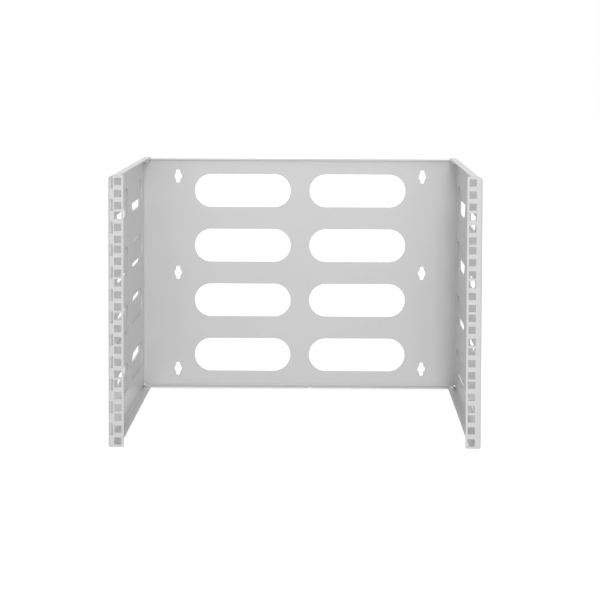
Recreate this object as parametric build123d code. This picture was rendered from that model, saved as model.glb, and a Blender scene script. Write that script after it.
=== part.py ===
import os

from build123d import *

# Open wall mounted rack for 19 inch equipment, eight units high.
# X runs across the rack, -Y is the open front, +Y the wall side, Z is up.
# The origin lies on the floor plane, below the middle of the rack.
# All sizes are in millimetres.

# Rack standard
units = 8
unit = 44.45
hole_offsets = (6.35, 22.225, 38.1)
hole_columns = 465.1
square_hole = 9.5
clear_opening = 450.0

# Overall sizes
rail_flange = 20.5
rail_end_margin = 1.5
depth = 305.0

# Sheet metal
rail_sheet = 2.5
plate_sheet = 2.0
bend_radius = 1.5

# Side plates
side_flange = 12.5
side_slot_length = 106.0
side_slot_height = 40.0
side_slot_rows = 4
side_slot_row_pitch = 82.8
side_slot_columns = 2
side_slot_column_pitch = 132.0
side_slot_first = 97.0
side_slot_shift = 4.6
tie_hole = 3.6
tie_hole_inset = 9.4
tie_hole_behind_front = 10.5

# Legs of the rail brackets
leg_depth = 300.0
leg_land = 31.9
leg_shift = 2.0
leg_opening_length = 103.0
leg_opening_first = 84.5
leg_opening_columns = 2
leg_opening_column_pitch = 132.0
shoulder_start = 6.0
shoulder_run = 22.0
flange_top_cut_x = 4.2
flange_top_cut_z = 3.3
flange_bottom_cut = 1.2
flange_corner_radius = 1.5

# Weld slots and unit marks, on the left rail only
weld_slots_per_pair = 3
weld_slot_width = 5.0
weld_slot_height = 15.0
weld_slot_edge = 1.7
weld_slot_first = 7.6
mark_width = 0.8
mark_depth = 0.3

# Back plate
back_flange = 12.0
back_opening_width = 148.0
back_opening_height = 51.0
back_rows = 4
back_row_pitch = 85.0
back_column_spacing = 177.0
keyhole_diameter = 11.2
keyhole_slot = 6.2
keyhole_height = 20.6
keyhole_columns = 377.0
keyhole_rows = 3
keyhole_row_pitch = 149.5
edge_notch = 4.0
edge_notch_shift = 16.0
corner_gap = 0.3

# Corner studs, pressed into the side flanges, and their nuts
stud_diameter = 4.0
stud_head = 6.0
stud_head_cover = 0.6
stud_inset = 7.5
stud_from_wall = 16.5
stud_end = 1.0
stud_clearance = 0.4
nut_flats = 7.0
nut_height = 3.2
nut_chamfer = 0.35
ear_radius = 5.5

# Derived sizes
width = clear_opening + 2 * rail_flange
stack = units * unit
height = stack + 2 * rail_end_margin
middle = height / 2
front = -depth / 2
rear = depth / 2
side_outer = width / 2 - rail_sheet
side_inner = side_outer - plate_sheet
side_depth = depth - rail_sheet - bend_radius
back_height = height - 2 * plate_sheet
flange_end = side_inner - bend_radius - corner_gap
stud_x = side_outer - stud_inset
stud_y = rear - stud_from_wall
stud_head_depth = plate_sheet - stud_head_cover
unit_pair = 2 * unit
leg_rows = units // 2 - 1
leg_height = leg_rows * unit_pair + leg_land
leg_opening_height = unit_pair - leg_land
cut = 50.0
past = 1.0

hole_heights = [stack / 2 - n * unit - drop for n in range(units) for drop in hole_offsets]
pair_heights = [stack / 2 - n * unit_pair for n in range(1, units // 2)]


def corner_stud_sites():
    # One place for the four studs, holes, ears and nuts.
    return [(sx * stud_x, stud_y) for sx in (-1, 1)]


def channel(reach, tall, sheet):
    # Half of a rounded ring: the web stands at -reach and both flanges end at zero.
    ring = RectangleRounded(2 * reach, tall, bend_radius + sheet)
    ring -= RectangleRounded(2 * (reach - sheet), tall - 2 * sheet, bend_radius)
    return ring & Pos(-reach / 2, 0) * Rectangle(reach, tall)


def angle(reach_x, reach_y, sheet):
    # One quarter of a rounded ring: two legs with a bend between them.
    ring = RectangleRounded(2 * reach_x, 2 * reach_y, bend_radius + sheet)
    ring -= RectangleRounded(2 * (reach_x - sheet), 2 * (reach_y - sheet), bend_radius)
    return ring & Pos(-reach_x / 2, -reach_y / 2) * Rectangle(reach_x, reach_y)


def pattern(places, shape):
    # One sketch that holds a copy of the shape at each place.
    return Sketch() + places * shape


def side_plate():
    # A channel: the web stands upright and both flanges turn inwards.
    profile = Pos(-(side_outer - side_flange), 0) * channel(side_flange, height, plate_sheet)
    plate = extrude(Plane.XZ.offset(-rear) * profile, amount=side_depth)

    slot = SlotOverall(side_slot_length, side_slot_height)
    grid = GridLocations(side_slot_column_pitch, side_slot_row_pitch, side_slot_columns, side_slot_rows)
    slot_mid = front + side_slot_first + (side_slot_columns - 1) * side_slot_column_pitch / 2
    field = Plane.YZ.offset(-width / 2) * Pos(slot_mid, side_slot_shift) * pattern(grid, slot)
    plate -= extrude(field, amount=side_flange)

    tie_place = Pos(-(side_outer - tie_hole_inset), front + tie_hole_behind_front)
    plate -= tie_place * Cylinder(tie_hole / 2, height + past)

    # Each flange holds a stud whose round head is flush with its outer face.
    plate -= Pos(-stud_x, stud_y) * Cylinder(stud_diameter / 2, height + past)
    for level in (height / 2 - stud_head_depth / 2, -height / 2 + stud_head_depth / 2):
        plate -= Pos(-stud_x, stud_y, level) * Cylinder(stud_head / 2, stud_head_depth)
    return plate


def corner_cut(run_x, run_z):
    # What a slanted cut takes off the upper outer corner of a rail's flange.
    corner = Polyline(
        (-width / 2, height / 2 - run_z),
        (-width / 2 + run_x, height / 2),
        (-width / 2 + run_x, height / 2 + past),
        (-width / 2 - past, height / 2 + past),
        (-width / 2 - past, height / 2 - run_z),
        close=True,
    )
    start = Plane.XZ.offset(-front - shoulder_start)
    return extrude(start * make_face(corner), amount=shoulder_start + past)


def rail_bracket(with_weld_slots):
    # An angle: the flange faces the front and the leg lies outside the side plate.
    flange_mid = -(width / 2 - rail_flange / 2)
    place = Pos(-(width / 2 - rail_flange), front + leg_depth)
    profile = place * angle(rail_flange, leg_depth, rail_sheet)
    bracket = extrude(profile, amount=height / 2, both=True)

    # The leg is lower than the flange, with a sloping shoulder at each end.
    shoulder_y = front + shoulder_start
    shoulder = Polyline(
        (shoulder_y, height / 2 - flange_top_cut_z),
        (shoulder_y + shoulder_run, leg_height / 2 + leg_shift),
        (front + leg_depth + past, leg_height / 2 + leg_shift),
        (front + leg_depth + past, height / 2 + past),
        (shoulder_y, height / 2 + past),
        close=True,
    )
    sill = Polyline(
        (shoulder_y, -height / 2 + flange_bottom_cut),
        (shoulder_y + shoulder_run, -leg_height / 2 + leg_shift),
        (front + leg_depth + past, -leg_height / 2 + leg_shift),
        (front + leg_depth + past, -height / 2 - past),
        (shoulder_y, -height / 2 - past),
        close=True,
    )
    outside = Plane.YZ.offset(-width / 2 - past)
    for outline in (shoulder, sill):
        bracket -= extrude(outside * make_face(outline), amount=rail_sheet + 2 * past)

    # The outer corners of the flange are cut at a slant, the lower one only a little.
    bracket -= corner_cut(flange_top_cut_x, flange_top_cut_z)
    bracket -= mirror(corner_cut(flange_bottom_cut, flange_bottom_cut), about=Plane.XY)
    tip = bracket.edges().filter_by(Axis.Y).group_by(Axis.X)[-1]
    bracket = fillet(tip, flange_corner_radius)

    opening = Rectangle(leg_opening_length, leg_opening_height)
    grid = GridLocations(leg_opening_column_pitch, unit_pair, leg_opening_columns, leg_rows)
    opening_mid = front + leg_opening_first + (leg_opening_columns - 1) * leg_opening_column_pitch / 2
    field = outside * Pos(opening_mid, leg_shift) * pattern(grid, opening)
    bracket -= extrude(field, amount=rail_sheet + 2 * past)

    hole_places = Locations([(-hole_columns / 2, z) for z in hole_heights])
    squares = pattern(hole_places, Rectangle(square_hole, square_hole))
    bracket -= extrude(Plane.XZ.offset(-front - rail_sheet) * squares, amount=rail_sheet)

    if with_weld_slots:
        count = weld_slots_per_pair * units // 2
        pitch = unit_pair / weld_slots_per_pair
        slot_x = -(width / 2 - weld_slot_edge - weld_slot_width / 2)
        places = Locations([(slot_x, stack / 2 - weld_slot_first - n * pitch) for n in range(count)])
        welds = pattern(places, Rectangle(weld_slot_width, weld_slot_height))
        bracket -= extrude(Plane.XZ.offset(-front - rail_sheet) * welds, amount=rail_sheet)
        mark_places = Locations([(flange_mid, z) for z in pair_heights])
        marks = pattern(mark_places, Rectangle(rail_flange, mark_width))
        bracket -= extrude(Plane.XZ.offset(-front - mark_depth) * marks, amount=mark_depth)
    return bracket


def back_plate():
    # A shallow channel lying across the rear, with its flanges turned forwards.
    turned = Rot(0, 0, 180) * channel(back_flange, back_height, plate_sheet)
    profile = Pos(rear - back_flange, 0) * turned
    plate = extrude(Plane.YZ * profile, amount=side_inner, both=True)

    # Each flange ends in a round ear for its corner stud.
    neck = rear - back_flange - stud_y
    ear = Circle(ear_radius)
    ear += Pos(0, neck / 2 + past / 2) * Rectangle(2 * ear_radius, neck + past)
    ears = pattern(Locations(corner_stud_sites()), ear)
    ear_level = back_height / 2 - plate_sheet
    plate += Pos(0, 0, ear_level) * extrude(ears, amount=plate_sheet)
    plate += Pos(0, 0, -back_height / 2) * extrude(ears, amount=plate_sheet)

    # The corners stay clear of the bends of the side plates.
    relief = side_inner - flange_end
    relief_z = plate_sheet + bend_radius
    for sx in (-1, 1):
        for sz in (-1, 1):
            block = Box(2 * relief, 2 * cut, 2 * relief_z)
            plate -= Pos(sx * side_inner, rear, sz * back_height / 2) * block

    grid = GridLocations(back_column_spacing, back_row_pitch, 2, back_rows)
    windows = pattern(grid, SlotOverall(back_opening_width, back_opening_height))
    plate -= extrude(Plane.XZ.offset(-rear) * windows, amount=plate_sheet)

    keyhole = Circle(keyhole_diameter / 2) + Rot(0, 0, 90) * SlotOverall(keyhole_height, keyhole_slot)
    keyhole_grid = GridLocations(keyhole_columns, keyhole_row_pitch, 2, keyhole_rows)
    keyholes = pattern(keyhole_grid, keyhole)
    plate -= extrude(Plane.XZ.offset(-rear) * keyholes, amount=plate_sheet)

    notch = Box(edge_notch, 2 * edge_notch, back_height + past)
    plate -= Pos(edge_notch_shift, rear - back_flange, 0) * notch

    for x, y in corner_stud_sites():
        plate -= Pos(x, y) * Cylinder((stud_diameter + stud_clearance) / 2, back_height + past)
    return plate


def corner_stud():
    # A plain shank with a round head that is pressed into the sheet.
    reach = 2 * plate_sheet + nut_height + stud_end
    shank = Pos(0, 0, -reach) * extrude(Circle(stud_diameter / 2), amount=reach - stud_head_depth)
    return shank + extrude(Circle(stud_head / 2), amount=-stud_head_depth)


def corner_nut():
    # A plain hexagon nut with both rims chamfered.
    hexagon = extrude(RegularPolygon(nut_flats / 2, 6, major_radius=False), amount=nut_height)
    rims = hexagon.edges().filter_by(Plane.XY)
    nut = chamfer(rims, nut_chamfer)
    return nut - Pos(0, 0, nut_height / 2) * Cylinder(stud_diameter / 2, nut_height + past)


def save(shape, name):
    solids = shape.solids()
    assert len(solids) == 1, name
    piece = solids[0]
    piece.label = name
    export_step(piece, os.path.join("parts", name + ".step"))
    box = piece.bounding_box()
    print(name, round(piece.volume), box.min, box.max)


os.makedirs("parts", exist_ok=True)
lift = Pos(0, 0, middle)
flip = Rot(0, 180, 0)

left_side = side_plate()
save(lift * left_side, "side_plate_left")
save(lift * flip * left_side, "side_plate_right")
save(lift * rail_bracket(True), "rail_bracket_left")
save(lift * mirror(rail_bracket(False), about=Plane.YZ), "rail_bracket_right")
save(lift * back_plate(), "back_plate")

stud = corner_stud()
nut = corner_nut()
under = 2 * plate_sheet + nut_height
for x, y in corner_stud_sites():
    side = "left" if x < 0 else "right"
    save(Pos(x, y, height) * stud, "corner_stud_top_" + side)
    save(Pos(x, y, 0) * Rot(180, 0, 0) * stud, "corner_stud_bottom_" + side)
    save(Pos(x, y, height - under) * nut, "corner_nut_top_" + side)
    save(Pos(x, y, 2 * plate_sheet) * nut, "corner_nut_bottom_" + side)
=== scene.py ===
import math

import bpy
from mathutils import Matrix, Vector


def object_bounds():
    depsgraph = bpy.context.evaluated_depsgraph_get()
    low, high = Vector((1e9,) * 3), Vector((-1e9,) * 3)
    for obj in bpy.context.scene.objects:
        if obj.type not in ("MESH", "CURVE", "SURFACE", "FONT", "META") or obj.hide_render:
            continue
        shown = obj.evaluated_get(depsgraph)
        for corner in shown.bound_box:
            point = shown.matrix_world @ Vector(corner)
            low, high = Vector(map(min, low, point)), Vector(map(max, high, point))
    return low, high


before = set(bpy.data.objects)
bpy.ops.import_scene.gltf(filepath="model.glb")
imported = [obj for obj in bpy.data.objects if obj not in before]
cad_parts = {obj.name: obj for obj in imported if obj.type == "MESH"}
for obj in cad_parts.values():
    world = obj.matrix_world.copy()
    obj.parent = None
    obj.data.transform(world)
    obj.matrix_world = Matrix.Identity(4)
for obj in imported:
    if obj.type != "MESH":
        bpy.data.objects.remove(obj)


def plain(bounds):
    # Plain numbers, which a JSON file can hold.
    return [[float(v) for v in corner] for corner in bounds]


cad_box = plain(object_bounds())
scene = bpy.context.scene

# Powder coat of the sheets, with lengths in metres
paint_grey = 0.70
paint_cloud_scale = 6.0
paint_cloud_dark = (0.985, 0.985, 0.988)
paint_cloud_light = (1.012, 1.012, 1.012)
paint_grain_scale = 900.0
paint_roughness = (0.28, 0.31)
paint_peel_scale = 650.0
paint_peel_strength = 0.03
paint_peel_depth = 0.0002
paint_metallic = 0.2
paint_ior = 1.5

# Zinc plate of the studs and nuts
zinc_grey = 0.86
zinc_cloud_scale = 300.0
zinc_cloud_dark = (0.92, 0.93, 0.95)
zinc_cloud_light = (1.0, 1.0, 0.99)
zinc_streak_scale = 400.0
zinc_streak_squeeze = (1, 1, 8)
zinc_roughness = (0.42, 0.56)

# Noise: how many octaves each use has, and the part of its range that is used
cloud_detail = 3.0
grain_detail = 2.0
peel_detail = 1.0
noise_low = 0.3
noise_high = 0.7

# Floor and background
white = (1, 1, 1, 1)
floor_size = 16.0
floor_gap = 0.0006
floor_colour = (0.6, 0.6, 0.6, 1)
floor_roughness = 0.9
floor_lift = 0.72
floor_lift_mirrored = 0.4
fill_strength = 0.58

# Lamps
key_energy = 100.0
key_size = (0.5, 1.2)
key_place = (0.25, -5.0, 1.35)
key_aim = (0.0, 0.0, 0.2)
above_energy = 0.4
above_angle = math.radians(3.0)
above_place = (0.0, 0.0, 3.0)

# Camera at the photograph's viewpoint, with pixels of the photograph
photo_px = 600.0
focal_px = 1283.0
centre_px = (323.2, 96.7)
pitch = math.radians(1.96)
yaw = math.radians(0.19)
roll = math.radians(0.23)
camera_place = (0.0415, -1.8243, 0.5199)
sensor_mm = 36.0
clip_near = 0.05
clip_far = 60.0


# Materials

def new_material(name):
    mat = bpy.data.materials.new(name)
    mat.use_nodes = True
    nodes = mat.node_tree.nodes
    links = mat.node_tree.links
    nodes.clear()
    out = nodes.new("ShaderNodeOutputMaterial")
    bsdf = nodes.new("ShaderNodeBsdfPrincipled")
    links.new(bsdf.outputs["BSDF"], out.inputs["Surface"])
    return mat, nodes, links, bsdf, out


def object_noise(nodes, links, scale, detail, squeeze=(1, 1, 1)):
    # Noise that is fixed to the object, finer along an axis that is squeezed.
    place = nodes.new("ShaderNodeTexCoord")
    mapping = nodes.new("ShaderNodeMapping")
    mapping.inputs["Scale"].default_value = squeeze
    links.new(place.outputs["Object"], mapping.inputs["Vector"])
    noise = nodes.new("ShaderNodeTexNoise")
    noise.inputs["Scale"].default_value = scale
    noise.inputs["Detail"].default_value = detail
    links.new(mapping.outputs["Vector"], noise.inputs["Vector"])
    return noise.outputs["Fac"]


def span(nodes, links, noise, low, high):
    # Maps the used part of the noise's range onto low to high.
    ranged = nodes.new("ShaderNodeMapRange")
    ranged.inputs["From Min"].default_value = noise_low
    ranged.inputs["From Max"].default_value = noise_high
    ranged.inputs["To Min"].default_value = low
    ranged.inputs["To Max"].default_value = high
    links.new(noise, ranged.inputs["Value"])
    return ranged.outputs["Result"]


def clouded_colour(nodes, links, bsdf, scale, grey, dark, light):
    # A grey that drifts between two tones, each given as a share of it in red, green and blue.
    cloud = object_noise(nodes, links, scale, cloud_detail)
    tone = nodes.new("ShaderNodeMixRGB")
    links.new(span(nodes, links, cloud, 0.0, 1.0), tone.inputs["Fac"])
    for socket, shares in (("Color1", dark), ("Color2", light)):
        tone.inputs[socket].default_value = (*(grey * share for share in shares), 1)
    links.new(tone.outputs["Color"], bsdf.inputs["Base Color"])


def uneven_roughness(nodes, links, bsdf, scale, roughness, squeeze=(1, 1, 1)):
    grain = object_noise(nodes, links, scale, grain_detail, squeeze)
    links.new(span(nodes, links, grain, *roughness), bsdf.inputs["Roughness"])


def orange_peel(nodes, links, bsdf, scale, strength, depth):
    peel = object_noise(nodes, links, scale, peel_detail)
    bump = nodes.new("ShaderNodeBump")
    bump.inputs["Strength"].default_value = strength
    bump.inputs["Distance"].default_value = depth
    links.new(peel, bump.inputs["Height"])
    links.new(bump.outputs["Normal"], bsdf.inputs["Normal"])


def powder_coat():
    # Satin powder coat: faint clouding, small changes of gloss and a fine orange peel.
    mat, nodes, links, bsdf, _ = new_material("grey_powder_coat")
    tones = (paint_grey, paint_cloud_dark, paint_cloud_light)
    clouded_colour(nodes, links, bsdf, paint_cloud_scale, *tones)
    uneven_roughness(nodes, links, bsdf, paint_grain_scale, paint_roughness)
    orange_peel(nodes, links, bsdf, paint_peel_scale, paint_peel_strength, paint_peel_depth)
    bsdf.inputs["Metallic"].default_value = paint_metallic
    bsdf.inputs["IOR"].default_value = paint_ior
    return mat


def zinc():
    # Zinc plate with a little clouding and fine level streaks.
    mat, nodes, links, bsdf, _ = new_material("zinc_plate")
    tones = (zinc_grey, zinc_cloud_dark, zinc_cloud_light)
    clouded_colour(nodes, links, bsdf, zinc_cloud_scale, *tones)
    streaks = (zinc_streak_scale, zinc_roughness, zinc_streak_squeeze)
    uneven_roughness(nodes, links, bsdf, *streaks)
    bsdf.inputs["Metallic"].default_value = 1.0
    return mat


paint = powder_coat()
plate = zinc()
for name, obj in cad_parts.items():
    obj.data.materials.clear()
    obj.data.materials.append(plate if name.startswith("corner_") else paint)


# Floor and background

def calculated(nodes, links, operation, *values):
    # Each value is a plain number or the socket that it comes from.
    node = nodes.new("ShaderNodeMath")
    node.operation = operation
    for socket, value in zip(node.inputs, values):
        if isinstance(value, float):
            socket.default_value = value
        else:
            links.new(value, socket)
    return node.outputs["Value"]


def seen_directly(nodes, links, for_camera, for_mirrors):
    # One share for camera rays, one for mirror and glass rays, and none for the light.
    path = nodes.new("ShaderNodeLightPath")
    glossy = path.outputs["Is Glossy Ray"]
    glass = path.outputs["Is Transmission Ray"]
    mirrored = calculated(nodes, links, "MAXIMUM", glossy, glass)
    mirror_share = calculated(nodes, links, "MULTIPLY", mirrored, for_mirrors)
    camera_ray = path.outputs["Is Camera Ray"]
    return calculated(nodes, links, "MULTIPLY_ADD", camera_ray, for_camera, mirror_share)


def stage_material():
    # A pale floor that is lifted to white for the camera and keeps the soft shadow.
    mat, nodes, links, bsdf, out = new_material("stage")
    bsdf.inputs["Base Color"].default_value = floor_colour
    bsdf.inputs["Roughness"].default_value = floor_roughness
    glow = nodes.new("ShaderNodeEmission")
    lift = seen_directly(nodes, links, floor_lift, floor_lift_mirrored)
    links.new(lift, glow.inputs["Strength"])
    both = nodes.new("ShaderNodeAddShader")
    links.new(bsdf.outputs["BSDF"], both.inputs[0])
    links.new(glow.outputs["Emission"], both.inputs[1])
    links.new(both.outputs["Shader"], out.inputs["Surface"])
    return mat


def add_floor():
    # The floor lies a small gap below the rack's underside.
    mesh = bpy.data.meshes.new("floor")
    h = floor_size / 2
    z = cad_box[0][2] - floor_gap
    mesh.from_pydata([(-h, -h, z), (h, -h, z), (h, h, z), (-h, h, z)], [], [(0, 1, 2, 3)])
    floor = bpy.data.objects.new("floor", mesh)
    scene.collection.objects.link(floor)
    floor.data.materials.append(stage_material())


def background(nodes, strength):
    shader = nodes.new("ShaderNodeBackground")
    shader.inputs["Color"].default_value = white
    shader.inputs["Strength"].default_value = strength
    return shader.outputs["Background"]


def add_world():
    # An even fill, and white where a camera, mirror or glass ray looks.
    world = bpy.data.worlds.new("world")
    world.use_nodes = True
    nodes = world.node_tree.nodes
    links = world.node_tree.links
    nodes.clear()
    out = nodes.new("ShaderNodeOutputWorld")
    mix = nodes.new("ShaderNodeMixShader")
    links.new(seen_directly(nodes, links, 1.0, 1.0), mix.inputs["Fac"])
    links.new(background(nodes, fill_strength), mix.inputs[1])
    links.new(background(nodes, 1.0), mix.inputs[2])
    links.new(mix.outputs["Shader"], out.inputs["Surface"])
    scene.world = world


add_floor()
add_world()


# Lamps

def lamp(name, kind, energy, place):
    light = bpy.data.lights.new(name, kind)
    light.energy = energy
    obj = bpy.data.objects.new(name, light)
    obj.location = place
    scene.collection.objects.link(obj)
    return obj


# The main light stands in front, and has no mirror image on the back plate.
key = lamp("key", "AREA", key_energy, key_place)
key.data.shape = "RECTANGLE"
key.data.size, key.data.size_y = key_size
key_direction = Vector(key_aim) - Vector(key_place)
key.rotation_euler = key_direction.to_track_quat("-Z", "Y").to_euler()
key.visible_glossy = False

# A weak light from straight above is for the faces that look up.
above = lamp("above", "SUN", above_energy, above_place)
above.data.angle = above_angle


# Camera

def camera_axes():
    # The turn's rows are right, down and forward, in the order of an untilted camera.
    turn = (
        Matrix.Rotation(roll, 3, "Z")
        @ Matrix.Rotation(pitch, 3, "X")
        @ Matrix.Rotation(yaw, 3, "Y")
    )
    right, down, forward = (Vector((row[0], row[2], -row[1])) for row in turn)
    return right, -down, -forward


lens = bpy.data.cameras.new("camera")
lens.sensor_fit = "HORIZONTAL"
lens.sensor_width = sensor_mm
lens.lens = focal_px * sensor_mm / photo_px
lens.shift_x = (photo_px / 2 - centre_px[0]) / photo_px
lens.shift_y = (centre_px[1] - photo_px / 2) / photo_px
lens.clip_start = clip_near
lens.clip_end = clip_far
camera = bpy.data.objects.new("camera", lens)
scene.collection.objects.link(camera)
pose = Matrix(camera_axes()).transposed().to_4x4()
pose.translation = camera_place
camera.matrix_world = pose
scene.camera = camera

scene.view_settings.view_transform = "Standard"
